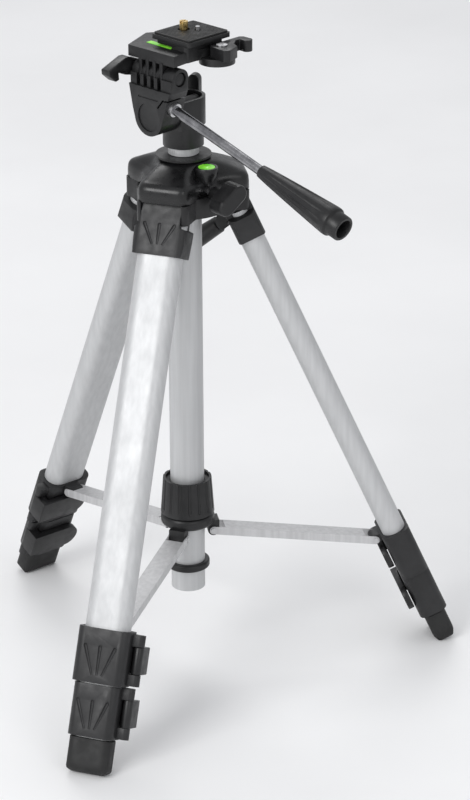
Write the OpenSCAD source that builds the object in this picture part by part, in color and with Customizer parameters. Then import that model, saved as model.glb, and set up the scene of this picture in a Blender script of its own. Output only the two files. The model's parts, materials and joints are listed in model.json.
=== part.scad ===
// Camera tripod with flip-lock legs, a geared centre column, a mid-level spreader and a three-way pan head.
// Lengths are in millimetres. The stand is centred on the origin, the feet rest on z = 0, and +Z is up.
// The three legs sit 120 degrees apart, with one of them on +Y.

/* [Legs] */
// Angle between each leg and the column when the stand is open
leg_splay = 24.1; // [23.5:0.1:24.5]
// Distance from a leg's top hinge to the end of its bottom tube
leg_length = 441.7; // [438:0.1:446]
// Width of the top leg tube
tube_width = 36; // [35:0.5:37]
// Thickness of the top leg tube
tube_depth = 19.5; // [19:0.5:20]
// Wall of the leg tubes
tube_wall = 1; // [0.8:0.1:1]
// Gap between two nested tubes on each side
tube_gap = 0.5; // [0.4:0.05:0.5]

/* [Column] */
// Outer diameter of the fixed centre tube
centre_tube_diameter = 27; // [26.8:0.1:27]
// Outer diameter of the geared inner column
column_diameter = 22; // [21.5:0.5:22]
// Height of the open lower end of the centre tube
centre_tube_bottom = 62.4; // [58:0.2:66]

/* [Head] */
// Angle the head is panned away from the stand's +Y leg
pan_angle = 5.8; // [0:0.1:12]
// Downward slope of the pan handle
handle_slope = 16.6; // [14:0.1:18]
// Length of the handle grip
grip_length = 86; // [70:0.5:90]
// Camera screw thread diameter, a quarter of an inch
camera_thread = 6.35; // [6.3:0.05:6.4]

/* [Quality] */
// Facets used to draw round shapes
$fn = 96; // [64:8:128]

/* [Hidden] */
leg_angles = [90, 210, 330];

// Colours.
moulding_black = [0.05, 0.05, 0.055];
rubber_black = [0.03, 0.03, 0.03];
tube_silver = [0.78, 0.79, 0.80];
strut_grey = [0.70, 0.71, 0.72];
steel_grey = [0.55, 0.56, 0.58];
brass_yellow = [0.78, 0.62, 0.30];
level_green = [0.45, 0.85, 0.15];

// Fits.
running_fit = 0.05;
free_gap = 0.3;

// Leg hinge. A leg's own frame has its origin here, -Z down the leg, +X outwards and +Y along the hinge.
hinge_radius = 30;
foot_round_radius = 9;
foot_round_up = 5.5;
foot_round_from_hinge = leg_length - foot_round_up;
hinge_height = foot_round_radius + foot_round_from_hinge * cos(leg_splay);
hinge_pin_radius = 2.5;
hinge_pin_length = 41;

// Nested leg tubes: width and depth of each, and how far each end lies from the hinge along the leg.
nest_step = 2 * (tube_wall + tube_gap);
middle_width = tube_width - nest_step;
middle_depth = tube_depth - nest_step;
lower_width = middle_width - nest_step;
lower_depth = middle_depth - nest_step;
upper_tube_start = 24.7;
upper_tube_end = leg_length - 78;
middle_tube_start = upper_tube_start + 18;
middle_tube_end = leg_length - 38;
lower_tube_start = middle_tube_start + 12;
lower_tube_end = leg_length - 8;

// Leg top sleeve.
neck_width = 32;
neck_radius = 9.5;
sleeve_depth = tube_depth + 3;
sleeve_top = 27.5;
sleeve_bottom = 49.7;
sleeve_top_width = 44;
sleeve_bottom_width = 39;

// Flip-lock collars and levers.
collar_inner_face = -tube_depth / 2 - 2;
collar_outer_face = tube_depth / 2 + 2;
collar_side = 21;
upper_collar_start = leg_length - 107.5;
upper_collar_end = leg_length - 66;
lower_collar_start = leg_length - 65;
lower_collar_end = leg_length - 25;
lower_collar_side = collar_side - 2.5;
barrel_radius = 4;
barrel_x = -4;
barrel_reach = 25.5;
lever_pin_radius = 1.25;
upper_lever_start = leg_length - 97;
upper_lever_end = leg_length - 76;
lower_lever_start = leg_length - 56;
lower_lever_end = leg_length - 35;
lever_thickness = 5;
lever_span = 28;

// Rubber foot.
foot_top = leg_length - 24;
foot_width = 35;

// Spreader: struts hinge on the upper collars and meet the hub on the centre tube.
strut_leg_down = 337.7;
strut_leg_inward = 17;
strut_leg_radius = hinge_radius + strut_leg_down * sin(leg_splay) - strut_leg_inward * cos(leg_splay);
strut_leg_height = hinge_height - strut_leg_down * cos(leg_splay) - strut_leg_inward * sin(leg_splay);
hub_pivot_radius = 20;
hub_pivot_height = 111.8;
strut_run = strut_leg_radius - hub_pivot_radius;
strut_rise = hub_pivot_height - strut_leg_height;
strut_length = sqrt(strut_run * strut_run + strut_rise * strut_rise);
strut_slope = atan2(strut_rise, strut_run);
strut_width = 15.5;
strut_flange = 6.5;
strut_sheet = 0.8;
strut_rivet_radius = 1.3;
strut_web_cutback = 9;
ear_thickness = strut_width - 2 * strut_sheet - 0.9;

// Shoulder, in two halves that meet at the parting height, with a slot for each leg.
skirt_bottom = hinge_height - 20.5;
parting_height = hinge_height - 4.9;
dome_rim = hinge_height + 9;
dome_top = hinge_height + 18.4;
lobe_reach = 48;
lobe_half_width = 21;
lower_wall_radius = 36;
dome_wall_radius = 31;
slot_width = neck_width + 1;
slot_inner = 19.9;
slot_front = 43.7;
low_slot_height = hinge_height - 10.3;

// Column. The column slides in the centre tube and in a ring on top of the shoulder.
tube_radius = centre_tube_diameter / 2;
column_radius = column_diameter / 2;
flange_top = dome_top + 3;
ring_radius = 14.5;
column_bottom = 150;
knurl_top = flange_top + 5.7;
spindle_radius = 6;
spindle_top = 459;

// Rack and pinion. The crank shaft crosses beside the column and leaves between two legs.
crank_angle = 30;
pinion_teeth = 8;
pinion_radius = 4;
rack_pitch = 2 * PI * pinion_radius / pinion_teeth;
rack_depth = 1.7;
rack_gap = 2;
shaft_offset = column_radius - 0.5 + pinion_radius;
shaft_height = hinge_height - 15.8;
shaft_radius = 2.5;
crank_plane = 57;
arm_length = 38.7;
arm_lean = 8.2;
arm_thickness = 4;
knob_radius = 8;
knob_length = 31;
knob_start = 6.5;
knob_droop = 37.6;
knob_plane = crank_plane + knob_radius;

// Column lock and bullseye level, both on the side that faces -Y.
lock_angle = 270;
lock_height = hinge_height - 1.9;
lock_screw_radius = 3;
bullseye_radius = 28;
bullseye_top = hinge_height + 17.2;
vial_radius = 6.4;

// Spreader hub and its lock nut.
hub_ring_radius = 21.4;
hub_bore = tube_radius + 0.1;
hub_ring_bottom = hub_pivot_height + 6.2;
hub_ring_top = hub_ring_bottom + 10;
collet_radius = 16;
collet_top = hub_ring_top + 22;
nut_bottom = hub_ring_top + 0.6;
nut_top = nut_bottom + 29.4;
ear_radius = 4.6;
open_pivot_radius = 3.3;

// Head. Its own frame is turned by the pan angle: the lens looks along +Y and the handle points to -Y.
pan_radius = 15.7;
pan_bottom = knurl_top + 1.5;
shell_bottom = pan_bottom + 16.3;
shell_rim = 474;
shell_left = -16.5;
shell_radius = 15;
tilt_height = 465;
tilt_lobe = 14.7;
tilt_pin_radius = 4;
body_outer = -36.5;
body_inner = -17;
body_top = 488;
body_front = 20.5;
body_back = -23;
portrait_x = -24.6;
portrait_height = 496.7;
knuckle_radius = 8.2;
knuckle_slots = 4;
slot_pitch = 7.4;
knuckle_slot = 3.8;
first_slot = 14;
bolt_radius = 2.5;
deck_bottom = 507.5;
deck_top = 516;
seat_top = 520.7;
plate_bottom = 521;
pad_bottom = 524.6;
plate_top = 526;
plate_centre = [1.55, -7.95];
plate_size = [44.5, 40.5];
screw_place = [0.9, -0.9];
pin_place = [7, -9.5];
video_pin_radius = 1.6;
lever_pivot = [6.7, -35.5];
lever_boss = [9, -28];
lever_bottom = 510;
lever_top = 519;
handle_rod_radius = 3.75;
handle_rod_end = 95.4;
pan_lock_direction = 26;
pan_lock_height = 453;

// ---------------------------------------------------------------- shared shapes

// Flat-sided oval: depth along X, width along Y.
module stadium(width, depth) {
    square([depth, width - depth], center = true);
    for (side = [-1, 1])
        translate([0, side * (width - depth) / 2])
            circle(d = depth);
}

// Rectangle with round corners, centred.
module rounded_rect(x_size, y_size, radius) {
    square([x_size - 2 * radius, y_size], center = true);
    square([x_size, y_size - 2 * radius], center = true);
    for (x = [-1, 1], y = [-1, 1])
        translate([x * (x_size / 2 - radius), y * (y_size / 2 - radius)])
            circle(radius);
}

// Cylinder along +Y, centred on the origin.
module cross_cylinder(radius, length) {
    rotate([90, 0, 0])
        cylinder(r = radius, h = length, center = true);
}

// Copies the children into the frame of the leg at one angle.
module on_leg(angle) {
    rotate([0, 0, angle])
        translate([hinge_radius, 0, hinge_height])
            rotate([0, -leg_splay, 0])
                children();
}

// Extrudes a plan outline between two distances down the leg.
module down_leg(start, end) {
    translate([0, 0, -end])
        linear_extrude(end - start)
            children();
}

// Three grooves that fan out over an outer face, from one low point to three high ones.
module fan_cut(face, low, high) {
    low_spread = 4;
    high_spread = 12;
    for (side = [-1, 0, 1]) {
        lean = atan2(side * (high_spread - low_spread), low - high);
        translate([face + 0.3, side * low_spread, -low])
            rotate([-lean, 0, 0]) {
                cylinder(r1 = 0.9, r2 = 1.5, h = (low - high) / cos(lean));
                translate([0, 0, (low - high) / cos(lean)])
                    sphere(1.5);
            }
    }
}

// ---------------------------------------------------------------- legs

module leg_tube(angle, width, depth, start, end) {
    color(tube_silver)
        on_leg(angle)
            down_leg(start, end)
                difference() {
                    stadium(width, depth);
                    stadium(width - 2 * tube_wall, depth - 2 * tube_wall);
                }
}

module upper_tube(angle) {
    leg_tube(angle, tube_width, tube_depth, upper_tube_start, upper_tube_end);
}

module middle_tube(angle) {
    leg_tube(angle, middle_width, middle_depth, middle_tube_start, middle_tube_end);
}

module lower_tube(angle) {
    leg_tube(angle, lower_width, lower_depth, lower_tube_start, lower_tube_end);
}

// Black moulding that hinges in the shoulder and holds the top tube.
module leg_sleeve(angle) {
    half_top = sleeve_top_width / 2;
    half_bottom = sleeve_bottom_width / 2;
    half_depth = sleeve_depth / 2;
    color(moulding_black)
        on_leg(angle)
            difference() {
                union() {
                    cross_cylinder(neck_radius, neck_width);
                    down_leg(neck_radius, sleeve_top + 2)
                        stadium(neck_width, 2 * neck_radius);
                    intersection() {
                        down_leg(sleeve_top - 8, sleeve_bottom)
                            rounded_rect(sleeve_depth, sleeve_top_width, 7);
                        translate([-half_depth, 0, 0])
                            rotate([90, 0, 90])
                                linear_extrude(sleeve_depth)
                                    polygon([[-neck_width / 2, 8 - sleeve_top],
                                        [-neck_width / 2, -sleeve_top],
                                        [-half_top, -sleeve_top - 2],
                                        [-half_bottom, -sleeve_bottom],
                                        [half_bottom, -sleeve_bottom],
                                        [half_top, -sleeve_top - 2],
                                        [neck_width / 2, -sleeve_top],
                                        [neck_width / 2, 8 - sleeve_top]]);
                    }
                    // Front of the neck, which blends up to the hinge.
                    rotate([90, 0, 0])
                        linear_extrude(neck_width, center = true)
                            polygon([[0, 0], [neck_radius, 0], [half_depth, 8 - sleeve_top],
                                [0, 8 - sleeve_top]]);
                }
                cross_cylinder(hinge_pin_radius + running_fit, neck_width + 2);
                down_leg(upper_tube_start, sleeve_bottom + 1)
                    stadium(tube_width, tube_depth);
                fan_cut(half_depth, sleeve_bottom - 8, sleeve_top - 1);
            }
}

// Collar body with the split barrel that its flip lever hinges on, and the lever's pin.
module collar(start, end, side, lever_start, lever_end) {
    barrel_y = side + barrel_reach - collar_side;
    down_leg(start, end)
        rounded_rect(collar_outer_face - collar_inner_face, 2 * side, 7);
    for (span = [[lever_start - 9, lever_start - free_gap], [lever_end + free_gap, lever_end + 9]]) {
        down_leg(span[0], span[1])
            translate([barrel_x, barrel_y])
                circle(barrel_radius);
        down_leg(span[0], span[1])
            translate([barrel_x - barrel_radius, side - 3])
                square([2 * barrel_radius, barrel_y - side + 3]);
    }
    down_leg(lever_start - 8, lever_end + 8)
        translate([barrel_x, barrel_y])
            circle(lever_pin_radius);
}

module upper_collar(angle) {
    color(moulding_black)
        on_leg(angle)
            difference() {
                union() {
                    collar(upper_collar_start, upper_collar_end, collar_side,
                        upper_lever_start, upper_lever_end);
                    // Ear for the strut.
                    translate([-strut_leg_inward, 0, -strut_leg_down])
                        cross_cylinder(strut_flange / 2 + 0.5, ear_thickness);
                    translate([-strut_leg_inward, -ear_thickness / 2, -strut_leg_down - strut_flange / 2])
                        cube([strut_leg_inward - tube_depth / 2 - 1, ear_thickness, strut_flange]);
                }
                down_leg(upper_collar_start - 1, upper_tube_end)
                    stadium(tube_width, tube_depth);
                down_leg(upper_tube_end - 1, upper_collar_end + 1)
                    stadium(middle_width + 2 * free_gap, middle_depth + 2 * free_gap);
                translate([-strut_leg_inward, 0, -strut_leg_down])
                    cross_cylinder(strut_rivet_radius + running_fit, ear_thickness + 1);
                fan_cut(collar_outer_face, upper_collar_end - 6, upper_collar_start + 14);
            }
}

module lower_collar(angle) {
    color(moulding_black)
        on_leg(angle)
            difference() {
                collar(lower_collar_start, lower_collar_end, lower_collar_side,
                    lower_lever_start, lower_lever_end);
                down_leg(lower_collar_start - 1, middle_tube_end)
                    stadium(middle_width, middle_depth);
                down_leg(middle_tube_end - 1, lower_collar_end + 1)
                    stadium(lower_width + 2 * free_gap, lower_depth + 2 * free_gap);
                fan_cut(collar_outer_face, lower_collar_end - 6, lower_collar_start + 13);
            }
}

// Flip lever: a barrel on the collar's side, an arm round its corner and a D-shaped flap on the inner face.
module flip_lever(angle, side, start, end) {
    barrel_y = side + barrel_reach - collar_side;
    flap_face = collar_inner_face - 0.6;
    color(moulding_black)
        on_leg(angle)
            difference() {
                union() {
                    down_leg(start, end)
                        translate([barrel_x, barrel_y])
                            circle(barrel_radius);
                    down_leg(start, end)
                        translate([flap_face - lever_thickness, side + 1])
                            square([barrel_x - flap_face + lever_thickness,
                                barrel_y + barrel_radius - side - 1]);
                    translate([flap_face, 0, -(start + end) / 2])
                        rotate([0, -90, 0])
                            linear_extrude(lever_thickness)
                                flap_outline(end - start, side + 1 + free_gap);
                }
                down_leg(start - 1, end + 1)
                    translate([barrel_x, barrel_y])
                        circle(lever_pin_radius + running_fit);
            }
}

// Outline of the flap: a half-round free end that points to -Y.
module flap_outline(height, reach) {
    centre_y = reach - lever_span;
    translate([-height / 2, centre_y])
        square([height, reach - centre_y]);
    translate([0, centre_y])
        circle(d = height);
}

module upper_lever(angle) {
    flip_lever(angle, collar_side, upper_lever_start, upper_lever_end);
}

module lower_lever(angle) {
    flip_lever(angle, lower_collar_side, lower_lever_start, lower_lever_end);
}

// Rubber foot with a half-round end.
module foot(angle) {
    corner = 7;
    color(rubber_black)
        on_leg(angle)
            difference() {
                intersection() {
                    rotate([90, 0, 0])
                        linear_extrude(foot_width, center = true) {
                            translate([-foot_round_radius, -foot_round_from_hinge])
                                square([2 * foot_round_radius, foot_round_from_hinge - foot_top]);
                            translate([0, -foot_round_from_hinge])
                                circle(foot_round_radius);
                        }
                    translate([-foot_round_radius, 0, -foot_round_from_hinge - foot_round_radius + 25])
                        rotate([90, 0, 90])
                            linear_extrude(2 * foot_round_radius)
                                rounded_rect(foot_width, 50, corner);
                    down_leg(foot_top, leg_length + 10)
                        rounded_rect(2 * foot_round_radius, foot_width, corner);
                }
                down_leg(foot_top - 1, lower_tube_end)
                    stadium(lower_width, lower_depth);
            }
}

// Folded sheet strut, open below, with a rivet through each end.
module strut(angle) {
    color(strut_grey)
        rotate([0, 0, angle])
            translate([strut_leg_radius, 0, strut_leg_height])
                rotate([0, 0, 180])
                    rotate([0, -strut_slope, 0]) {
                        for (side = [-1, 1])
                            translate([0, side * (strut_width - strut_sheet) / 2, 0])
                                rotate([90, 0, 0])
                                    linear_extrude(strut_sheet, center = true) {
                                        translate([0, -strut_flange / 2])
                                            square([strut_length, strut_flange]);
                                        for (x = [0, strut_length])
                                            translate([x, 0])
                                                circle(d = strut_flange);
                                    }
                        translate([strut_web_cutback, -strut_width / 2, strut_flange / 2 - strut_sheet])
                            cube([strut_length - 2 * strut_web_cutback, strut_width, strut_sheet]);
                        for (x = [0, strut_length])
                            translate([x, 0, 0])
                                rivet();
                    }
}

module rivet() {
    cross_cylinder(strut_rivet_radius, strut_width + 1);
    for (side = [-1, 1])
        translate([0, side * (strut_width / 2 + 0.4), 0])
            cross_cylinder(2.3, 0.8);
}

// ---------------------------------------------------------------- shoulder

module shoulder_outline(wall_radius) {
    circle(wall_radius);
    for (angle = leg_angles)
        rotate(angle)
            translate([lobe_reach / 2, 0])
                rounded_rect(lobe_reach, 2 * lobe_half_width, 5);
}

// Plan of the slot low in the shoulder, round on the inside like the sleeve's neck.
module low_slot_outline() {
    round_radius = 11;
    round_x = slot_inner + 2.5 + round_radius;
    translate([round_x, -slot_width / 2])
        square([lobe_reach, slot_width]);
    for (side = [-1, 1])
        translate([round_x, side * (slot_width / 2 - round_radius)])
            circle(round_radius);
    translate([round_x - round_radius, round_radius - slot_width / 2])
        square([round_radius, slot_width - 2 * round_radius]);
}

// Moves the children to the crank shaft: +X runs out along the shaft and the column lies on the +Y side.
module on_crank_shaft() {
    rotate([0, 0, crank_angle])
        translate([0, -shaft_offset, shaft_height])
            children();
}

// Cylinder along +X between two distances.
module along_x(radius, start, end) {
    translate([start, 0, 0])
        rotate([0, 90, 0])
            cylinder(r = radius, h = end - start);
}

module lock_screw_bore() {
    rotate([0, 0, lock_angle])
        translate([0, 0, lock_height])
            along_x(lock_screw_radius + running_fit, 0, lobe_reach);
}

module hinge_pin_bores() {
    for (angle = leg_angles)
        rotate([0, 0, angle])
            translate([hinge_radius, 0, hinge_height])
                cross_cylinder(hinge_pin_radius, hinge_pin_length);
}

// Lower shoulder half: side walls for each leg, the socket of the centre tube and the pinion's housing.
module shoulder() {
    color(moulding_black)
        difference() {
            union() {
                translate([0, 0, skirt_bottom])
                    linear_extrude(parting_height - skirt_bottom)
                        shoulder_outline(lower_wall_radius);
                on_crank_shaft()
                    along_x(4.6, lower_wall_radius - 8, crank_plane - 12);
            }
            for (angle = leg_angles)
                rotate([0, 0, angle]) {
                    translate([0, 0, skirt_bottom - 1])
                        linear_extrude(parting_height - skirt_bottom + 2)
                            low_slot_outline();
                    translate([slot_inner, -slot_width / 2, low_slot_height])
                        cube([lobe_reach, slot_width, parting_height]);
                }
            translate([0, 0, skirt_bottom - 1])
                cylinder(r = tube_radius, h = parting_height);
            on_crank_shaft() {
                along_x(shaft_radius + running_fit, -8, crank_plane);
                along_x(pinion_radius + 1.4, -5.5, 5.5);
            }
            lock_screw_bore();
        }
}

// Domed cover that closes the slots from above and holds the hinge pins.
module shoulder_cover() {
    color(moulding_black)
        difference() {
            union() {
                intersection() {
                    translate([0, 0, parting_height])
                        linear_extrude(dome_top - parting_height)
                            shoulder_outline(dome_wall_radius);
                    rotate_extrude()
                        polygon([[0, parting_height], [lobe_reach + 2, parting_height],
                            [lobe_reach + 2, dome_rim - 1.5], [lobe_reach - 2, dome_rim + 1],
                            [lobe_reach - 10, dome_rim + 4.5], [24, dome_top], [0, dome_top]]);
                }
                rotate([0, 0, lock_angle])
                    translate([bullseye_radius, 0, bullseye_top - 11])
                        cylinder(r1 = 4, r2 = vial_radius + 2.3, h = 5);
                rotate([0, 0, lock_angle])
                    translate([bullseye_radius, 0, bullseye_top - 6])
                        cylinder(r = vial_radius + 2.3, h = 6);
                rotate([0, 0, crank_angle])
                    translate([dome_wall_radius - 6, 0, dome_rim])
                        cylinder(r = 9, h = 8);
            }
            for (angle = leg_angles)
                rotate([0, 0, angle]) {
                    translate([hinge_radius, 0, hinge_height])
                        cross_cylinder(neck_radius + 0.4, slot_width);
                    translate([slot_inner, -slot_width / 2, parting_height - 1])
                        cube([slot_front - slot_inner, slot_width, hinge_height - parting_height + 4.5]);
                }
            translate([0, 0, parting_height - 1])
                cylinder(r = ring_radius, h = dome_top);
            rotate([0, 0, lock_angle])
                translate([bullseye_radius, 0, bullseye_top - 5])
                    cylinder(r = vial_radius, h = 6);
            hinge_pin_bores();
            lock_screw_bore();
        }
}

module leg_pins() {
    color(steel_grey)
        hinge_pin_bores();
}

module bullseye_level() {
    color(level_green)
        rotate([0, 0, lock_angle])
            translate([bullseye_radius, 0, bullseye_top - 5])
                cylinder(r = vial_radius, h = 5);
}

// Bush with a flange that guides the column through the top of the shoulder.
module column_ring() {
    color(moulding_black)
        difference() {
            union() {
                translate([0, 0, parting_height])
                    cylinder(r = ring_radius, h = flange_top - parting_height);
                translate([0, 0, dome_top])
                    cylinder(r = 18, h = flange_top - dome_top);
                translate([0, 0, flange_top - 1.5])
                    cylinder(r = hub_ring_radius, h = 1.5);
            }
            translate([0, 0, parting_height - 1])
                cylinder(r = column_radius + 2 * running_fit, h = flange_top);
            lock_screw_bore();
        }
}

// Oval clamp knob whose screw bears on the column.
module column_lock_knob() {
    head_start = 45.5;
    head_depth = 15.5;
    color(moulding_black)
        rotate([0, 0, lock_angle])
            translate([0, 0, lock_height])
                difference() {
                    union() {
                        along_x(lock_screw_radius, column_radius + free_gap, head_start + 2);
                        along_x(5.5, lower_wall_radius + 1.5, head_start);
                        rotate([35, 0, 0])
                            translate([head_start, 0, 0])
                                rotate([90, 0, 90])
                                    linear_extrude(head_depth)
                                        rotate(90)
                                            stadium(28.4, 14.4);
                    }
                    rotate([35, 0, 0])
                        translate([head_start + head_depth - 1, -13, -0.6])
                            cube([2, 26, 1.2]);
                }
}

// ---------------------------------------------------------------- column

module centre_tube() {
    color(tube_silver)
        difference() {
            translate([0, 0, centre_tube_bottom])
                cylinder(r = tube_radius, h = parting_height - centre_tube_bottom);
            translate([0, 0, centre_tube_bottom - 1])
                cylinder(r = tube_radius - tube_wall, h = parting_height);
            on_crank_shaft()
                translate([-6.5, -5, -6])
                    cube([15, 12, 12]);
        }
}

module stop_ring() {
    stop_height = centre_tube_bottom + 17.6;
    color(moulding_black)
        translate([0, 0, stop_height])
            rotate_extrude()
                difference() {
                    translate([tube_radius + 1.4, 3])
                        rounded_rect(4.8, 6, 1.5);
                    square([tube_radius, 6]);
                }
}

// Sliding column with a rack down one side, a knurled top and the spindle that the head turns on.
module inner_column() {
    rack_up = 2;
    rack_down = 64;
    knurls = 40;
    color(tube_silver)
        difference() {
            union() {
                translate([0, 0, column_bottom])
                    cylinder(r = column_radius, h = flange_top + 0.5 - column_bottom);
                translate([0, 0, flange_top + 0.5])
                    cylinder(r = column_radius + 0.9, h = knurl_top - flange_top - 0.5);
                translate([0, 0, knurl_top])
                    cylinder(r = spindle_radius, h = spindle_top - knurl_top);
            }
            on_crank_shaft()
                for (i = [-rack_down:rack_up])
                    translate([-7, 0, i * rack_pitch - rack_gap / 2])
                        cube([14, shaft_offset - column_radius + rack_depth, rack_gap]);
            for (i = [0:knurls - 1])
                rotate([0, 0, i * 360 / knurls])
                    translate([column_radius + 0.7, -0.35, flange_top + 1.2])
                        cube([1, 0.7, knurl_top - flange_top - 1.9]);
        }
}

module crank_shaft() {
    tooth_tip = pinion_radius + 0.9;
    color(steel_grey)
        on_crank_shaft()
            rotate([90, 0, 90]) {
                translate([0, 0, -4])
                    linear_extrude(8) {
                        circle(pinion_radius - 0.8);
                        for (i = [0:pinion_teeth - 1])
                            rotate(i * 360 / pinion_teeth)
                                polygon([[0, -0.65], [pinion_radius - 0.8, -0.65], [tooth_tip, -0.35],
                                    [tooth_tip, 0.35], [pinion_radius - 0.8, 0.65], [0, 0.65]]);
                    }
                cylinder(r = shaft_radius, h = crank_plane);
            }
}

// Flat arm that hangs from the shaft, with a fork and pin for the folding knob.
module crank_arm() {
    hinge_y = arm_length * sin(arm_lean);
    hinge_z = -arm_length * cos(arm_lean);
    color(moulding_black)
        on_crank_shaft() {
            along_x(6.5, crank_plane, crank_plane + arm_thickness + 1.5);
            rotate([arm_lean, 0, 0])
                translate([crank_plane, -4.5, -arm_length])
                    cube([arm_thickness, 9, arm_length]);
            translate([0, hinge_y, hinge_z])
                along_x(5, crank_plane, crank_plane + arm_thickness);
            translate([knob_plane, hinge_y, hinge_z])
                rotate([-knob_droop, 0, 0]) {
                    for (side = [-1, 1])
                        translate([0, 0, side * 3.65]) {
                            cylinder(r = 3.2, h = 2.6, center = true);
                            translate([-knob_radius + 1, -3.2, -1.3])
                                cube([knob_radius - 1, 6.4, 2.6]);
                        }
                    cylinder(r = 1.4, h = 8, center = true);
                }
        }
}

// Hollow knob that folds flat against the crank.
module crank_knob() {
    hinge_y = arm_length * sin(arm_lean);
    hinge_z = -arm_length * cos(arm_lean);
    color(moulding_black)
        on_crank_shaft()
            translate([knob_plane, hinge_y, hinge_z])
                rotate([-knob_droop, 0, 0])
                    difference() {
                        union() {
                            cylinder(r = 2.8, h = 4, center = true);
                            translate([-2.8, 0, -2])
                                cube([5.6, knob_start + 1, 4]);
                            translate([0, knob_start, 0])
                                rotate([-90, 0, 0])
                                    cylinder(r1 = knob_radius - 1.2, r2 = knob_radius, h = knob_length);
                        }
                        cylinder(r = 1.4 + running_fit, h = 6, center = true);
                        translate([0, knob_start + 9, 0])
                            rotate([-90, 0, 0])
                                cylinder(r = knob_radius - 1.8, h = knob_length);
                    }
}

// ---------------------------------------------------------------- spreader

// Ring that slides on the centre tube, with an ear for each strut and a collet for the lock nut.
module spreader_hub() {
    color(moulding_black)
        difference() {
            union() {
                translate([0, 0, hub_ring_bottom])
                    rotate_extrude()
                        translate([hub_ring_radius - 5, 5])
                            rounded_rect(10, 10, 3.5);
                translate([0, 0, hub_ring_bottom])
                    cylinder(r = collet_radius, h = collet_top - hub_ring_bottom);
                for (angle = leg_angles)
                    rotate([0, 0, angle])
                        translate([hub_pivot_radius, 0, hub_pivot_height]) {
                            cross_cylinder(ear_radius, ear_thickness);
                            translate([-ear_radius, -ear_thickness / 2, 0])
                                cube([2 * ear_radius, ear_thickness, 8.5]);
                        }
            }
            translate([0, 0, hub_pivot_height - 8])
                cylinder(r = hub_bore, h = collet_top);
            for (angle = leg_angles)
                rotate([0, 0, angle])
                    translate([hub_pivot_radius, 0, hub_pivot_height])
                        cross_cylinder(open_pivot_radius, ear_thickness + 1);
        }
}

// Grooved nut that squeezes the collet on the centre tube.
module spreader_nut() {
    grooves = 16;
    top_radius = 19.3;
    height = nut_top - nut_bottom;
    cone_angle = atan2(hub_ring_radius - top_radius, height);
    color(moulding_black)
        translate([0, 0, nut_bottom])
            difference() {
                cylinder(r1 = hub_ring_radius, r2 = top_radius, h = height);
                translate([0, 0, -1])
                    cylinder(r = collet_radius + 2 * running_fit, h = collet_top - nut_bottom + 1.6);
                cylinder(r = tube_radius + 0.6, h = height + 1);
                translate([0, 0, height - 2.5])
                    cylinder(r = top_radius - 2, h = 3);
                for (i = [0:grooves - 1])
                    rotate([0, 0, (i + 0.5) * 360 / grooves])
                        translate([hub_ring_radius + 0.3, 0, 5])
                            rotate([0, -cone_angle, 0]) {
                                cylinder(r = 1.4, h = height);
                                sphere(1.4);
                            }
            }
}

// ---------------------------------------------------------------- head

module on_head() {
    rotate([0, 0, pan_angle])
        children();
}

// Moves the children to the handle's root: +X runs out along the handle.
module on_handle() {
    on_head()
        translate([-27.8, -18.5, 473.7])
            rotate([0, 0, -90])
                rotate([0, handle_slope, 0])
                    children();
}

// Moves the children to the pan lock: +X runs out from the spindle.
module on_pan_lock() {
    on_head()
        rotate([0, 0, pan_lock_direction])
            translate([0, 0, pan_lock_height])
                children();
}

// Extrudes an outline drawn as (front, up) across the head, between two places along X.
module across_head(start, end) {
    translate([start, 0, 0])
        rotate([90, 0, 90])
            linear_extrude(end - start)
                children();
}

// Cylinder along +Y between two places, on the portrait hinge.
module along_portrait(radius, start, end) {
    translate([portrait_x, end, portrait_height])
        rotate([90, 0, 0])
            cylinder(r = radius, h = end - start);
}

module shell_outline(radius) {
    translate([3, 0])
        circle(radius);
    translate([shell_left, -radius])
        square([3 - shell_left, 2 * radius]);
}

// Turntable of the head: a cylinder on the spindle and an open shell that carries the tilt pin.
module pan_base() {
    color(moulding_black)
        on_head()
            difference() {
                union() {
                    translate([0, 0, pan_bottom])
                        cylinder(r = pan_radius, h = shell_bottom - pan_bottom);
                    difference() {
                        translate([0, 0, shell_bottom])
                            linear_extrude(shell_rim - shell_bottom)
                                shell_outline(shell_radius);
                        translate([0, 0, shell_bottom + 8])
                            linear_extrude(shell_rim)
                                shell_outline(shell_radius - 2.5);
                    }
                    translate([0, 0, tilt_height])
                        along_x(7, shell_left, 14);
                    translate([shell_left, -shell_radius, shell_bottom])
                        cube([4, 2 * shell_radius, shell_rim - shell_bottom]);
                }
                translate([0, 0, pan_bottom - 1])
                    cylinder(r = spindle_radius + running_fit, h = spindle_top - pan_bottom + 1.5);
                translate([0, 0, tilt_height])
                    along_x(tilt_pin_radius, shell_left - 1, 12);
                rotate([0, 0, pan_lock_direction])
                    translate([0, 0, pan_lock_height])
                        along_x(lock_screw_radius + running_fit, 0, 2 * shell_radius);
            }
}

// Wing knob that locks the pan.
module pan_lock_knob() {
    hub_start = 18.5;
    wing_height = 26;
    color(moulding_black)
        on_pan_lock() {
            along_x(lock_screw_radius, spindle_radius + free_gap, hub_start + 1);
            along_x(6.5, hub_start, hub_start + 13);
            translate([hub_start + 5, -4.5, 0])
                cube([7, 9, wing_height]);
            translate([hub_start + 5, 0, wing_height])
                along_x(4.5, 0, 7);
        }
}

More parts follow.
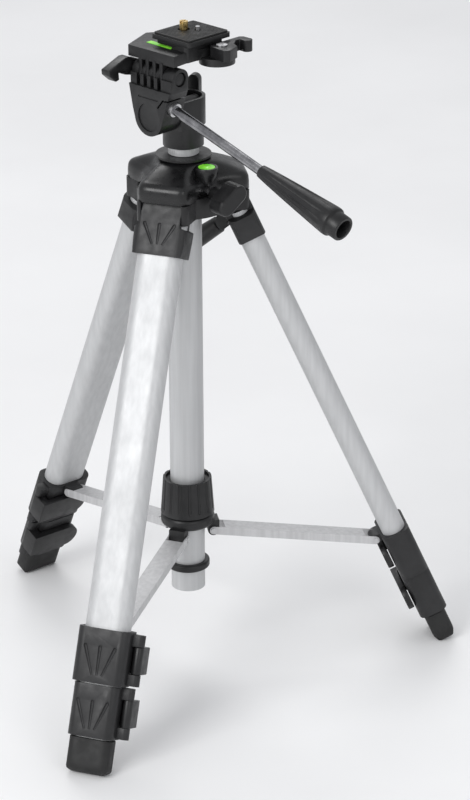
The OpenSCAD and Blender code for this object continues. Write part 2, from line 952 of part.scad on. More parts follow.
// Tilting upright with a split clamp for the handle and the portrait hinge's knuckles.
module tilt_body() {
    color(moulding_black)
        on_head()
            difference() {
                union() {
                    across_head(body_outer, body_inner) {
                        translate([0, tilt_height])
                            circle(tilt_lobe);
                        polygon([[-14.3, tilt_height - 3], [-16.5, tilt_height + 3], [body_back, body_top],
                            [body_front, body_top], [16.6, tilt_height + 4.7], [14.6, tilt_height - 2]]);
                    }
                    along_portrait(knuckle_radius, body_back, body_front);
                    translate([portrait_x - knuckle_radius - 1.8, body_back, body_top - 1])
                        cube([2 * knuckle_radius + 1.2, body_front - body_back,
                            portrait_height - body_top + 1]);
                }
                // Gaps for the platform's knuckles.
                for (i = [0:knuckle_slots - 1])
                    translate([body_outer - 1, first_slot - i * slot_pitch - knuckle_slot, body_top - 0.3])
                        cube([body_inner - body_outer + 4, knuckle_slot, 20]);
                along_portrait(bolt_radius + running_fit, body_back - 1, body_front + 1);
                along_portrait(5.6, body_back - 1, body_back + 4);
                // Clamp slit beside the handle.
                across_head(body_outer - 1, body_inner + 1)
                    polygon([[-25, 482.2], [-15.4, 481.8], [-9.5, 474.6], [-10.6, 473.8],
                        [-16, 480.5], [-25, 480.9]]);
                // Shallow disc and bar pressed into the outer face.
                translate([0, 0, tilt_height])
                    along_x(11, body_outer - 1, body_outer + 1.2);
                translate([body_outer - 1, -10.5, 479.4])
                    cube([1.7, 21, 1.4]);
                translate([0, 0, tilt_height])
                    along_x(tilt_pin_radius + running_fit, body_outer + 4, body_inner + 1);
                on_handle_from_head() {
                    along_x(handle_rod_radius + running_fit, -10.5, 10);
                    along_x(5.5, -1.5, 10);
                }
            }
}

// The handle's frame for a child that is already in the head's frame.
module on_handle_from_head() {
    rotate([0, 0, -pan_angle])
        on_handle()
            children();
}

module tilt_pin() {
    color(steel_grey)
        on_head()
            translate([0, 0, tilt_height])
                along_x(tilt_pin_radius, body_outer + 4.3, 12);
}

// Pale ring where the handle enters the upright.
module handle_collar() {
    color(steel_grey)
        on_handle()
            difference() {
                along_x(5.5, -1.5, 2.6);
                along_x(handle_rod_radius + running_fit, -3, 4);
            }
}

module handle_rod() {
    color(steel_grey)
        on_handle()
            along_x(handle_rod_radius, -10, handle_rod_end + 20);
}

// Tapered grip with long scallops and a hollow end.
module handle_grip() {
    flutes = 8;
    stub_length = 10;
    end_radius = 11.4;
    start_radius = 5;
    cone_length = grip_length - stub_length - 4;
    cone_angle = atan2(end_radius - start_radius, cone_length);
    color(moulding_black)
        on_handle()
            translate([handle_rod_end, 0, 0])
                rotate([0, 90, 0])
                    difference() {
                        union() {
                            cylinder(r1 = start_radius, r2 = end_radius, h = cone_length);
                            translate([0, 0, cone_length])
                                cylinder(r = end_radius, h = 4);
                            translate([0, 0, cone_length + 4])
                                cylinder(r = 9.6, h = stub_length);
                        }
                        translate([0, 0, -1])
                            cylinder(r = handle_rod_radius, h = 21);
                        translate([0, 0, grip_length - stub_length - 2])
                            cylinder(r = 7, h = stub_length + 3);
                        for (i = [0:flutes - 1])
                            rotate([0, 0, i * 360 / flutes])
                                translate([start_radius + 1.7, 0, 8])
                                    rotate([0, cone_angle, 0])
                                        cylinder(r1 = 1.2, r2 = 2.6, h = cone_length - 4);
                    }
}

// Deck with the plate's seat, the round boss under the release lever, and the portrait hinge's knuckles.
module platform() {
    rib = knuckle_slot - 2 * free_gap;
    color(moulding_black)
        on_head()
            difference() {
                union() {
                    translate([0, 0, deck_bottom])
                        linear_extrude(deck_top - deck_bottom)
                            polygon([[-32.5, 24.8], [-31.6, -23.5], [-12, -21.5], [1.2, -25.4],
                                [22, -25.4], [23.5, 12], [16, 26], [-1.9, 37.4]]);
                    translate([plate_centre.x, plate_centre.y + 1.5, (deck_bottom + seat_top) / 2])
                        linear_extrude(seat_top - deck_bottom, center = true)
                            rounded_rect(plate_size.x - 5, plate_size.y - 8, 3);
                    translate([lever_boss.x, lever_boss.y, deck_bottom - 3.5])
                        cylinder(r = 13.7, h = lever_bottom - deck_bottom + 3.2);
                    for (i = [0:knuckle_slots - 1]) {
                        end = first_slot - i * slot_pitch - free_gap;
                        along_portrait(knuckle_radius, end - rib, end);
                        translate([portrait_x - knuckle_radius + 0.4, end - rib, portrait_height])
                            cube([2 * knuckle_radius - 0.8, rib, deck_bottom - portrait_height + 1]);
                    }
                }
                along_portrait(bolt_radius + running_fit, body_back, body_front);
                // Seat of the tube level.
                translate([-19.2, -7.2, deck_top - 2.5])
                    cube([5, 26, 4]);
                translate([screw_place.x, screw_place.y, deck_top - 1])
                    cylinder(r = 9.6, h = 10);
                translate([pin_place.x, pin_place.y, deck_top - 1])
                    cylinder(r = 2.6, h = 10);
                translate([lever_pivot.x, lever_pivot.y, deck_bottom - 1])
                    cylinder(r = bolt_radius, h = 10);
            }
}

module tube_level() {
    color(level_green)
        on_head()
            translate([-19.2, -7.2, deck_top - 2.5])
                cube([5, 26, 2.7]);
}

// Clamp lever of the portrait hinge, with its long bolt and bolt head.
module portrait_lever() {
    lever_back = 24;
    lever_front = 33;
    color(moulding_black)
        on_head() {
            along_portrait(bolt_radius, body_back + 1, lever_back + 1);
            along_portrait(5.2, body_back + 1, body_back + 3.7);
            along_portrait(4.5, body_front + free_gap, lever_back + 1);
            along_portrait(6.5, lever_back, lever_front);
            translate([0, lever_front, 0])
                rotate([90, 0, 0])
                    linear_extrude(lever_front - lever_back)
                        polygon([[portrait_x, 503.2], [-32, 506.4], [-35.5, 506.4], [-53.5, 499.5],
                            [-53, 495.5], [-46, 489.5], [-42.5, 490.5], [-43, 496], [-36, 493],
                            [portrait_x, 490.3]]);
        }
}

// Clamp lever for the quick-release plate, with a hooked finger tab.
module qr_lever() {
    color(moulding_black)
        on_head()
            difference() {
                translate([0, 0, lever_bottom]) {
                    linear_extrude(lever_top - lever_bottom)
                        polygon([[-1, -31], [-2, -46], [1.5, -49.2], [14, -44.5], [17, -38], [24, -33],
                            [28, -33], [28, -37], [35.5, -37], [35.5, -30], [33, -27.5], [14, -27.5],
                            [3, -27]]);
                    translate([31.7, -37.2, 0])
                        cylinder(r = 4, h = lever_top - lever_bottom);
                }
                translate([lever_pivot.x, lever_pivot.y, lever_bottom - 1])
                    cylinder(r = bolt_radius + running_fit, h = 12);
            }
}

module qr_rivet() {
    color(steel_grey)
        on_head()
            translate([lever_pivot.x, lever_pivot.y, 0]) {
                translate([0, 0, deck_bottom - 1])
                    cylinder(r = bolt_radius, h = lever_top - deck_bottom + 1.2);
                translate([0, 0, lever_top + 0.1])
                    cylinder(r = 4.2, h = 0.9);
            }
}

// Quick-release plate with a round boss below it for the camera screw's head.
module qr_plate() {
    color(moulding_black)
        on_head()
            difference() {
                union() {
                    translate([plate_centre.x, plate_centre.y, plate_bottom])
                        linear_extrude(pad_bottom - plate_bottom)
                            rounded_rect(plate_size.x, plate_size.y, 2.5);
                    translate([screw_place.x, screw_place.y, deck_top])
                        cylinder(r = 9.2, h = plate_bottom - deck_top + 1);
                }
                translate([screw_place.x, screw_place.y, deck_top - 1])
                    cylinder(r = 8.2, h = plate_bottom - deck_top + 1);
                translate([screw_place.x, screw_place.y, deck_top])
                    cylinder(r = camera_thread / 2 + 2 * running_fit, h = 20);
                translate([pin_place.x, pin_place.y, deck_top])
                    cylinder(r = video_pin_radius + running_fit, h = 20);
            }
}

// Ribbed rubber pad on the plate.
module rubber_pad() {
    ribs = 17;
    pad = [plate_size.x - 3, plate_size.y - 3];
    color(rubber_black)
        on_head()
            difference() {
                translate([plate_centre.x, plate_centre.y, pad_bottom])
                    linear_extrude(plate_top - pad_bottom)
                        rounded_rect(pad.x, pad.y, 1.5);
                for (i = [1:ribs])
                    translate([plate_centre.x + pad.x * (i / (ribs + 1) - 0.5) - 0.3,
                        plate_centre.y - pad.y / 2 + 1, plate_top - 0.5])
                        cube([0.6, pad.y - 2, 1]);
                translate([screw_place.x, screw_place.y, deck_top])
                    cylinder(r = camera_thread / 2 + 1.4, h = 20);
                translate([pin_place.x, pin_place.y, deck_top])
                    cylinder(r = video_pin_radius + 0.8, h = 20);
            }
}

module camera_screw() {
    screw_top = plate_top + 6.5;
    neck_radius = camera_thread / 2 - 0.4;
    color(brass_yellow)
        on_head()
            translate([screw_place.x, screw_place.y, 0])
                difference() {
                    union() {
                        translate([0, 0, deck_top + 1])
                            cylinder(r = 7.8, h = 2.6);
                        // The neck keeps the screw in the plate, and the thread stands on top of it.
                        translate([0, 0, deck_top + 1])
                            cylinder(r = neck_radius, h = screw_top - deck_top - 1);
                        translate([0, 0, plate_top])
                            cylinder(r = camera_thread / 2, h = screw_top - plate_top);
                    }
                    translate([-camera_thread, -0.6, screw_top - 1.6])
                        cube([2 * camera_thread, 1.2, 3]);
                    translate([-5, -0.8, deck_top])
                        cube([10, 1.6, 2.2]);
                }
}

module video_pin() {
    color(steel_grey)
        on_head()
            translate([pin_place.x, pin_place.y, plate_bottom + 0.5])
                cylinder(r = video_pin_radius, h = plate_top + 2.7 - plate_bottom - 0.5);
}

// ---------------------------------------------------------------- assembly

leg_sleeve(leg_angles[0]);  // leg_sleeve_a
upper_tube(leg_angles[0]);  // upper_tube_a
upper_collar(leg_angles[0]);  // upper_collar_a
upper_lever(leg_angles[0]);  // upper_lever_a
middle_tube(leg_angles[0]);  // middle_tube_a
lower_collar(leg_angles[0]);  // lower_collar_a
lower_lever(leg_angles[0]);  // lower_lever_a
lower_tube(leg_angles[0]);  // lower_tube_a
foot(leg_angles[0]);  // foot_a
strut(leg_angles[0]);  // strut_a
leg_sleeve(leg_angles[1]);  // leg_sleeve_b
upper_tube(leg_angles[1]);  // upper_tube_b
upper_collar(leg_angles[1]);  // upper_collar_b
upper_lever(leg_angles[1]);  // upper_lever_b
middle_tube(leg_angles[1]);  // middle_tube_b
lower_collar(leg_angles[1]);  // lower_collar_b
lower_lever(leg_angles[1]);  // lower_lever_b
lower_tube(leg_angles[1]);  // lower_tube_b
foot(leg_angles[1]);  // foot_b
strut(leg_angles[1]);  // strut_b
leg_sleeve(leg_angles[2]);  // leg_sleeve_c
upper_tube(leg_angles[2]);  // upper_tube_c
upper_collar(leg_angles[2]);  // upper_collar_c
upper_lever(leg_angles[2]);  // upper_lever_c
middle_tube(leg_angles[2]);  // middle_tube_c
lower_collar(leg_angles[2]);  // lower_collar_c
lower_lever(leg_angles[2]);  // lower_lever_c
lower_tube(leg_angles[2]);  // lower_tube_c
foot(leg_angles[2]);  // foot_c
strut(leg_angles[2]);  // strut_c
shoulder();
shoulder_cover();
leg_pins();
bullseye_level();
column_ring();
column_lock_knob();
centre_tube();
stop_ring();
inner_column();
crank_shaft();
crank_arm();
crank_knob();
spreader_hub();
spreader_nut();
pan_base();
pan_lock_knob();
tilt_body();
tilt_pin();
handle_collar();
handle_rod();
handle_grip();
platform();
tube_level();
portrait_lever();
qr_lever();
qr_rivet();
qr_plate();
rubber_pad();
camera_screw();
video_pin();
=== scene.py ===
"""Looks of the camera tripod: materials on the CAD nodes and richer pieces for the parts that show most."""

import json
import math

import bmesh
import bpy
from mathutils import Matrix, Vector


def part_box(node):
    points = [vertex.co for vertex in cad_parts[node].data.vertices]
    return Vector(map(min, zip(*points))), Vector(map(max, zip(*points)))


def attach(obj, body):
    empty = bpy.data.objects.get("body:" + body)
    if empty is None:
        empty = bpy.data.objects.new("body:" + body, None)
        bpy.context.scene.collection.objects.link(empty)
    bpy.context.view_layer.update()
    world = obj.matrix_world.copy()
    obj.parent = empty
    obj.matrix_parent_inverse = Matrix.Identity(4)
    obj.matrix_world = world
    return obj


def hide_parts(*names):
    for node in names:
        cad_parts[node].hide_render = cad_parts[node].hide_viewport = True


MM = 0.001
LEGS = {"a": 90, "b": 210, "c": 330}

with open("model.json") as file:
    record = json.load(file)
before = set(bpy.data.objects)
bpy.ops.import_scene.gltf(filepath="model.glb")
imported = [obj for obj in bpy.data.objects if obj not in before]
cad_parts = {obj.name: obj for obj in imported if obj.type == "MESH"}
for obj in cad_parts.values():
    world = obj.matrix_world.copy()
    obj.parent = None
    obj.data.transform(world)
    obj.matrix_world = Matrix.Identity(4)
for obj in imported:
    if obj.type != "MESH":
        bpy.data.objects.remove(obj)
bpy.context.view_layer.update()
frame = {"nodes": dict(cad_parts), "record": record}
nodes = frame["nodes"]


# ---------------------------------------------------------------- materials

def new_material(name):
    """An empty node material with its Principled shader and its object coordinates."""
    material = bpy.data.materials.new(name)
    material.use_nodes = True
    tree = material.node_tree
    shader = tree.nodes["Principled BSDF"]
    coords = tree.nodes.new("ShaderNodeTexCoord")
    return material, tree, shader, coords.outputs["Object"]


def add_noise(tree, vector, scale, detail=4.0, stretch=None):
    """A noise pattern. Its scale is per metre, and stretch scales each axis first."""
    noise = tree.nodes.new("ShaderNodeTexNoise")
    noise.inputs["Scale"].default_value = scale
    noise.inputs["Detail"].default_value = detail
    if stretch:
        mapping = tree.nodes.new("ShaderNodeMapping")
        mapping.inputs["Scale"].default_value = stretch
        tree.links.new(vector, mapping.inputs["Vector"])
        vector = mapping.outputs["Vector"]
    tree.links.new(vector, noise.inputs["Vector"])
    return noise.outputs["Fac"]


def add_ramp(tree, value, low, high, start=0.35, end=0.65):
    """Turns a pattern into a colour or a grey between two ends."""
    ramp = tree.nodes.new("ShaderNodeValToRGB")
    ramp.color_ramp.elements[0].position = start
    ramp.color_ramp.elements[1].position = end
    ramp.color_ramp.elements[0].color = as_colour(low)
    ramp.color_ramp.elements[1].color = as_colour(high)
    tree.links.new(value, ramp.inputs["Fac"])
    return ramp.outputs["Color"]


def as_colour(value):
    """A grey or an RGB triple as an opaque colour."""
    if isinstance(value, float):
        return (value, value, value, 1.0)
    return (*value, 1.0)


def add_bump(tree, shader, height, strength, distance):
    """Feeds a height pattern into the shader's normal."""
    bump = tree.nodes.new("ShaderNodeBump")
    bump.inputs["Strength"].default_value = strength
    bump.inputs["Distance"].default_value = distance
    tree.links.new(height, bump.inputs["Height"])
    tree.links.new(bump.outputs["Normal"], shader.inputs["Normal"])


def moulded_plastic(name, dark, light, roughness, grain):
    """Black moulded plastic: a fine sparked grain, slight colour clouds and handled, shinier patches."""
    material, tree, shader, coords = new_material(name)
    clouds = add_noise(tree, coords, 45.0)
    tree.links.new(add_ramp(tree, clouds, dark, light), shader.inputs["Base Color"])
    wear = add_noise(tree, coords, 160.0, detail=6.0)
    rough = add_ramp(tree, wear, roughness - 0.07, roughness + 0.07)
    tree.links.new(rough, shader.inputs["Roughness"])
    shader.inputs["Specular IOR Level"].default_value = 0.45
    add_bump(tree, shader, add_noise(tree, coords, 2600.0, detail=2.0), grain, 0.00012)
    return material


def anodised_aluminium(name, dark, light, roughness):
    """Satin anodised tube: pale metal with faint drawn streaks, smudges and small scuffs."""
    material, tree, shader, coords = new_material(name)
    streaks = add_noise(tree, coords, 60.0, stretch=(5.0, 5.0, 0.2))
    tree.links.new(add_ramp(tree, streaks, dark, light), shader.inputs["Base Color"])
    smudges = add_noise(tree, coords, 28.0, detail=5.0)
    rough = add_ramp(tree, smudges, roughness - 0.06, roughness + 0.08)
    tree.links.new(rough, shader.inputs["Roughness"])
    shader.inputs["Metallic"].default_value = 0.4
    add_bump(tree, shader, add_noise(tree, coords, 1800.0, detail=2.0), 0.08, 0.0001)
    return material


def metal(name, dark, light, roughness, scale=300.0):
    """Bright or plated metal with fine scratches."""
    material, tree, shader, coords = new_material(name)
    scratches = add_noise(tree, coords, scale, detail=8.0)
    tree.links.new(add_ramp(tree, scratches, dark, light), shader.inputs["Base Color"])
    rough = add_ramp(tree, scratches, roughness, roughness + 0.12)
    tree.links.new(rough, shader.inputs["Roughness"])
    shader.inputs["Metallic"].default_value = 1.0
    add_bump(tree, shader, scratches, 0.08, 0.0001)
    return material


def vial_liquid(name):
    """Green level liquid behind clear plastic, with a faint painted glow: its green is also its emission
    colour.
    """
    material, tree, shader, coords = new_material(name)
    depth = add_noise(tree, coords, 120.0)
    green_and_glow = add_ramp(tree, depth, (0.16, 0.72, 0.03), (0.38, 0.95, 0.08))
    tree.links.new(green_and_glow, shader.inputs["Base Color"])
    # Painted glow: the liquid's green is also its emission colour, so it shines faintly without a lamp.
    tree.links.new(green_and_glow, shader.inputs["Emission Color"])
    shader.inputs["Emission Strength"].default_value = 0.12
    shader.inputs["Roughness"].default_value = 0.3
    shader.inputs["Coat Weight"].default_value = 0.1
    return material


BLACK = moulded_plastic("black_moulding", (0.006, 0.006, 0.0065), (0.011, 0.011, 0.0115), 0.40, 0.3)
SATIN = moulded_plastic("satin_moulding", (0.006, 0.006, 0.0065), (0.010, 0.010, 0.0105), 0.32, 0.1)
COLLAR = moulded_plastic("collar_moulding", (0.010, 0.010, 0.0105), (0.017, 0.017, 0.018), 0.46, 0.4)
RUBBER = moulded_plastic("black_rubber", (0.008, 0.008, 0.008), (0.014, 0.014, 0.014), 0.62, 0.60)
TUBE = anodised_aluminium("leg_aluminium", (0.52, 0.525, 0.53), (0.57, 0.575, 0.58), 0.50)
STRUT = anodised_aluminium("strut_aluminium", (0.52, 0.52, 0.525), (0.60, 0.60, 0.605), 0.46)
STEEL = metal("plated_steel", (0.55, 0.55, 0.56), (0.72, 0.72, 0.73), 0.28)
CHROME = metal("chrome_rod", (0.20, 0.20, 0.21), (0.34, 0.34, 0.35), 0.16, scale=120.0)
BRASS = metal("brass_screw", (0.62, 0.42, 0.14), (0.85, 0.64, 0.28), 0.22)
# The vial liquid carries a faint painted glow.
VIAL = vial_liquid("green_vial")


# ---------------------------------------------------------------- helpers

def paint(piece, material):
    piece.data.materials.clear()
    piece.data.materials.append(material)


def finish_piece(piece, body, material, replaced):
    """Paints a new piece, ties it to its body and hides the CAD nodes it replaces."""
    paint(piece, material)
    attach(piece, body)
    if replaced:
        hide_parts(*replaced)


def mesh_piece(name, vertices, faces):
    """A new object from points and faces, with all its faces turned outward."""
    mesh = bpy.data.meshes.new(name)
    mesh.from_pydata(vertices, [], faces)
    mesh.update()
    piece = bpy.data.objects.new(name, mesh)
    bpy.context.scene.collection.objects.link(piece)
    clean = bmesh.new()
    clean.from_mesh(mesh)
    bmesh.ops.recalc_face_normals(clean, faces=clean.faces)
    clean.to_mesh(mesh)
    clean.free()
    return piece


def smooth_by_angle(piece, degrees=35.0):
    """Smooth shading, with edges sharper than the angle kept crisp."""
    for polygon in piece.data.polygons:
        polygon.use_smooth = True
    piece.data.set_sharp_from_angle(angle=math.radians(degrees))


def body_with(node):
    """The body that carries a CAD node."""
    for body, members in frame["record"]["behaviour"]["bodies"].items():
        if node in members:
            return body
    raise ValueError(node)


def soften(node, width, material):
    """Replaces a CAD node with a copy whose moulded edges are rounded."""
    source = nodes[node]
    mesh = source.data.copy()
    mesh.materials.clear()
    piece = bpy.data.objects.new(node + "_moulded", mesh)
    bpy.context.scene.collection.objects.link(piece)
    edit = bmesh.new()
    edit.from_mesh(mesh)
    bmesh.ops.remove_doubles(edit, verts=edit.verts, dist=0.000002)
    bmesh.ops.dissolve_limit(edit, angle_limit=math.radians(0.6), verts=edit.verts, edges=edit.edges)
    edit.to_mesh(mesh)
    edit.free()
    bevel = piece.modifiers.new("edges", "BEVEL")
    bevel.width = width * MM
    bevel.segments = 3
    bevel.limit_method = "ANGLE"
    bevel.angle_limit = math.radians(38)
    depsgraph = bpy.context.evaluated_depsgraph_get()
    piece.data = bpy.data.meshes.new_from_object(piece.evaluated_get(depsgraph))
    piece.modifiers.clear()
    smooth_by_angle(piece)
    finish_piece(piece, body_with(node), material, [node])
    return piece


def turns(count):
    """Angles of evenly spaced points round a ring."""
    return [2 * math.pi * i / count for i in range(count)]


def ring_grid(name, rings, closed=False):
    """A skin through rings of points, all with the same count.

    Its two ends are capped, or, when closed, the last ring joins the first.
    """
    count = len(rings[0])
    rows = len(rings)
    vertices = [point for ring in rings for point in ring]
    faces = []
    for row in range(rows if closed else rows - 1):
        here = row * count
        there = (row + 1) % rows * count
        for i in range(count):
            j = (i + 1) % count
            faces.append((here + i, here + j, there + j, there + i))
    if not closed:
        faces.append(tuple(range(count)))
        faces.append(tuple(range((rows - 1) * count, rows * count)))
    return mesh_piece(name, vertices, faces)


def lathe(name, profile, centre, count=64, axis=(0, 0, 1)):
    """A round piece from (radius, height) points in mm, about an axis through the centre."""
    turn = Vector((0, 0, 1)).rotation_difference(Vector(axis)).to_matrix()
    rings = []
    for radius, height in profile:
        ring = []
        for angle in turns(count):
            point = Vector((radius * math.cos(angle), radius * math.sin(angle), height)) * MM
            ring.append(tuple(turn @ point + Vector(centre)))
        rings.append(ring)
    piece = ring_grid(name, rings)
    smooth_by_angle(piece, 32)
    return piece


# ---------------------------------------------------------------- materials on the CAD nodes

SLOT_MATERIALS = {
    "black_moulding": BLACK,
    "black_rubber": RUBBER,
    "leg_aluminium": TUBE,
    "strut_aluminium": STRUT,
    "plated_steel": STEEL,
    "chrome_rod": CHROME,
    "green_vial": VIAL,
    "brass_screw": BRASS,
}
for part in frame["record"]["subparts"]:
    paint(nodes[part["node"]], SLOT_MATERIALS[part["material_slot"]])


# ---------------------------------------------------------------- moulded parts with rounded edges

for leg in LEGS:
    soften("leg_sleeve_" + leg, 0.9, COLLAR)
    soften("upper_collar_" + leg, 0.6, COLLAR)
    soften("lower_collar_" + leg, 0.6, COLLAR)
    soften("upper_lever_" + leg, 0.8, BLACK)
    soften("lower_lever_" + leg, 0.8, BLACK)
    soften("foot_" + leg, 0.8, RUBBER)
for node, edge in [("shoulder", 0.7), ("pan_base", 0.8), ("tilt_body", 0.5), ("platform", 0.9),
                   ("qr_lever", 0.9), ("qr_plate", 0.5), ("portrait_lever", 1.2), ("pan_lock_knob", 1.2),
                   ("crank_arm", 0.6), ("crank_knob", 0.6), ("spreader_hub", 0.4), ("spreader_nut", 0.5)]:
    soften(node, edge, BLACK)


# ---------------------------------------------------------------- domed shoulder cover and its level

LOBE_REACH = 48.6
LOBE_HALF_WIDTH = 22.0
LOBE_SQUARENESS = 7
MIDDLE_RADIUS = 31.0
BLEND_SHARPNESS = 14


def lobe_radius(angle):
    """Distance from the column to the cover's wall: three squared lobes blended into a round middle."""
    total = MIDDLE_RADIUS ** BLEND_SHARPNESS
    for degrees in LEGS.values():
        turn = angle - math.radians(degrees)
        if math.cos(turn) > 0:
            along = (abs(math.cos(turn)) / LOBE_REACH) ** LOBE_SQUARENESS
            across = (abs(math.sin(turn)) / LOBE_HALF_WIDTH) ** LOBE_SQUARENESS
            total += ((along + across) ** (-1 / LOBE_SQUARENESS)) ** BLEND_SHARPNESS
    return total ** (1 / BLEND_SHARPNESS)


def shoulder_dome():
    """The shoulder's cover: an upright wall, a rounded rim, and a top that rises to the column's hole."""
    low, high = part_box("shoulder_cover")
    bottom, top = low[2] / MM, high[2] / MM
    rim = bottom + 0.34 * (top - bottom)
    rim_radius = 7.0
    rim_steps = 6
    rim_step_angle = 13
    rim_inset = 0.3
    top_steps = 10
    top_curve = 1.35
    top_radius = 19.5
    hole_radius = 14.0
    angles = turns(180)

    def ring(inset, height, pull=0.0):
        """A ring on the wall. Pull draws it in from the wall (0) to the round top (1)."""
        points = []
        for angle in angles:
            wall = lobe_radius(angle) - inset
            radius = wall * (1 - pull) + top_radius * pull
            points.append((radius * math.cos(angle) * MM, radius * math.sin(angle) * MM, height * MM))
        return points

    def hole_ring(height):
        return [(hole_radius * math.cos(angle) * MM, hole_radius * math.sin(angle) * MM, height * MM)
                for angle in angles]

    rings = [ring(0.6, bottom), ring(0.0, bottom + 0.5), ring(0.1, rim - 2), ring(rim_inset, rim)]
    for step in range(1, rim_steps + 1):
        turn = math.radians(rim_step_angle * step)
        inset = rim_inset + rim_radius * (1 - math.cos(turn))
        height = rim + rim_radius * math.sin(turn)
        rings.append(ring(inset, height))
    for step in range(1, top_steps + 1):
        pull = step / top_steps
        rings.append(ring(inset, height + (top - height) * (1 - (1 - pull) ** top_curve), pull))
    rings += [hole_ring(top), hole_ring(bottom)]
    dome = ring_grid("shoulder_dome", rings, closed=True)
    smooth_by_angle(dome, 60)
    finish_piece(dome, "stand", SATIN, ["shoulder_cover"])


def bullseye():
    """The cup round the level's vial and the bubble on top of it."""
    low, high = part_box("bullseye_level")
    place = ((low[0] + high[0]) / 2, (low[1] + high[1]) / 2, 0)
    top = high[2] / MM
    cup = lathe("bullseye_cup", [
        (4.5, top - 14), (5.5, top - 12), (8.6, top - 6), (8.8, top - 1), (8.4, top),
        (6.9, top), (6.6, top - 0.4), (6.6, top - 3)], place)
    finish_piece(cup, "stand", SATIN, [])
    bubble = lathe("bullseye_bubble", [
        (2.9, top), (2.9, top + 0.15), (2.4, top + 0.3), (0.5, top + 0.35)], place, count=32)
    # The bubble takes the vial material, with its faint painted glow.
    finish_piece(bubble, "stand", VIAL, [])


shoulder_dome()
bullseye()


# ---------------------------------------------------------------- scalloped pan handle grip

def handle_grip():
    """The tapered grip: eight scallops down a cone, then a hollow stub."""
    joint = next(j for j in frame["record"]["behaviour"]["joints"] if j["name"] == "handle_twist")
    axis = Vector(joint["axis"]).normalized()
    root = Vector(joint["pos_m"])
    turn = Vector((0, 0, 1)).rotation_difference(axis).to_matrix()
    start = 95.4
    length = 86.0
    shoulder_at = length - 10
    cone_start = 6
    cone_length = shoulder_at - 10
    cone_steps = 24
    scallop_depth = 1.5
    flutes = 8
    angles = turns(128)

    def ring(at, radius, depth=0):
        """A ring at a distance along the grip, with its scallops cut to the depth."""
        points = []
        for angle in angles:
            scallop = max(0.0, math.cos(flutes * angle)) ** 0.8
            reach = radius - depth * scallop
            point = Vector((reach * math.cos(angle), reach * math.sin(angle), start + at)) * MM
            points.append(tuple(root + turn @ point))
        return points

    rings = [ring(0, 4.2), ring(0.2, 4.9), ring(4, 5.4)]
    for step in range(cone_steps + 1):
        along = step / cone_steps
        fade = math.sin(math.pi * min(1, along * 1.02)) ** 0.5
        depth = scallop_depth * fade * (0.45 + 0.55 * along)
        rings.append(ring(cone_start + along * cone_length, 5.6 + 5.8 * along ** 0.9, depth))
    stub = [
        (shoulder_at - 2, 11.4), (shoulder_at - 0.6, 11.2), (shoulder_at, 10.2), (shoulder_at + 0.4, 9.7),
        (length - 0.8, 9.6), (length, 9.0), (length, 7.3), (length - 0.6, 6.9), (length - 12, 6.6)]
    rings += [ring(at, radius) for at, radius in stub]
    grip = ring_grid("grip_moulding", rings)
    smooth_by_angle(grip, 40)
    finish_piece(grip, "handle", BLACK, ["handle_grip"])


handle_grip()


# ---------------------------------------------------------------- oval column-lock knob

def oval_knob():
    """The column lock's knob: a leaning oval with a knurled edge, on a round stem with a steel screw."""
    low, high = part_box("column_lock_knob")
    face = low[1] / MM
    centre_z = (low[2] + high[2]) / 2 / MM
    lean = math.radians(35)
    angles = turns(96)
    long_half, short_half = 14.2, 7.2
    flat = long_half - short_half
    turnover = 0.05
    knurl_depth = 0.35

    def ring(depth, grow=0.0, knurl=0.0):
        """An oval ring at a depth behind the knob's face."""
        points = []
        for i, angle in enumerate(angles):
            x = math.copysign(flat, math.cos(angle)) + (short_half + grow) * math.cos(angle)
            if abs(math.cos(angle)) < turnover:
                x = flat * math.cos(angle) / turnover + grow * math.cos(angle)
            z = (short_half + grow - knurl * (i % 2)) * math.sin(angle)
            points.append(((x * math.cos(lean) - z * math.sin(lean)) * MM, (face + depth) * MM,
                           (centre_z + x * math.sin(lean) + z * math.cos(lean)) * MM))
        return points

    rings = [ring(15.5, -2.0), ring(15.2, -0.8), ring(14.4), ring(13.6, knurl=knurl_depth),
             ring(3.0, knurl=knurl_depth), ring(2.2), ring(0.7, -0.5), ring(0.0, -1.6)]
    knob = ring_grid("lock_knob_grip", rings)
    smooth_by_angle(knob, 32)
    finish_piece(knob, "column_lock", BLACK, ["column_lock_knob"])
    forward = (0, -1, 0)
    stem = lathe("lock_knob_stem", [(5.0, 0), (5.6, 1), (5.6, 7), (6.6, 8), (6.6, 10)],
                 (0, (face + 25) * MM, centre_z * MM), axis=forward)
    finish_piece(stem, "column_lock", BLACK, [])
    screw = lathe("lock_knob_screw", [(3, 0), (3, 26)], (0, (face + 50) * MM, centre_z * MM), axis=forward)
    finish_piece(screw, "column_lock", STEEL, [])


oval_knob()


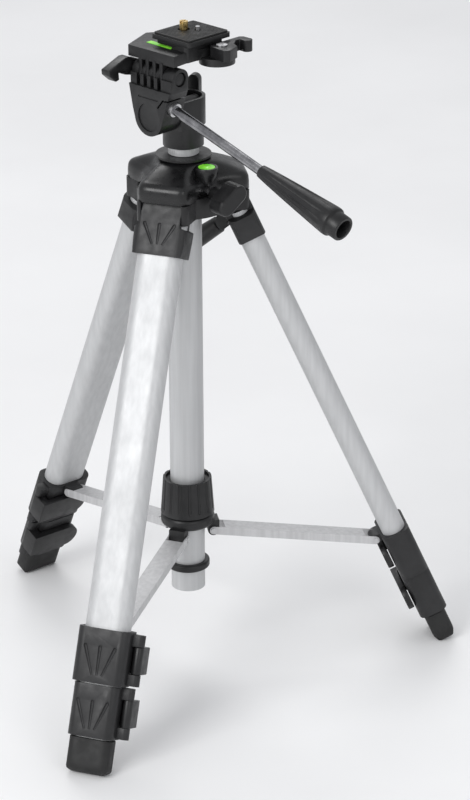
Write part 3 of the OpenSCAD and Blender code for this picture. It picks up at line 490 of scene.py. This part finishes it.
# ---------------------------------------------------------------- room, light and camera

def area_light(name, place, target, size, power):
    """A square lamp at a place, pointed at a target."""
    data = bpy.data.lights.new(name, "AREA")
    data.energy = power
    data.size = size
    light = bpy.data.objects.new(name, data)
    light.location = place
    light.rotation_euler = (Vector(target) - Vector(place)).to_track_quat("-Z", "Y").to_euler()
    bpy.context.scene.collection.objects.link(light)


def room():
    """A pale floor, an even sky and three soft lamps."""
    size = 8.0
    floor = mesh_piece("floor", [(-size, -size, 0), (size, -size, 0), (size, size, 0), (-size, size, 0)],
                       [(0, 1, 2, 3)])
    material, tree, shader, coords = new_material("floor")
    tree.links.new(add_ramp(tree, add_noise(tree, coords, 3.0), (0.88, 0.88, 0.88), (0.92, 0.92, 0.92)),
                   shader.inputs["Base Color"])
    shader.inputs["Roughness"].default_value = 0.55
    paint(floor, material)
    world = bpy.data.worlds.new("studio")
    world.use_nodes = True
    background = world.node_tree.nodes["Background"]
    background.inputs["Color"].default_value = (0.96, 0.97, 1.0, 1.0)
    background.inputs["Strength"].default_value = 0.62
    bpy.context.scene.world = world
    area_light("key", (-2.4, -0.5, 1.7), (0, 0, 0.25), 1.4, 40)
    area_light("front_fill", (-0.4, -2.6, 1.4), (0, 0, 0.25), 1.2, 9)
    area_light("back_top", (0.9, 1.5, 2.2), (0, 0, 0.3), 1.2, 15)


def camera():
    """A long lens, nearly level from side to side, looking down on legs b and c."""
    right = Vector((0.77144, -0.63629, -0.00477))
    down = Vector((-0.25206, -0.29869, -0.92046))
    data = bpy.data.cameras.new("camera")
    data.sensor_fit = "VERTICAL"
    data.sensor_height = 36
    data.lens = 144
    camera_object = bpy.data.objects.new("camera", data)
    up = -down
    back = right.cross(up)
    axes = Matrix((right, up, back)).transposed().to_4x4()
    camera_object.matrix_world = Matrix.Translation((-1.44243, -1.81633, 1.20797)) @ axes
    bpy.context.scene.collection.objects.link(camera_object)
    bpy.context.scene.camera = camera_object


room()
camera()
bpy.context.scene.view_settings.view_transform = "Standard"
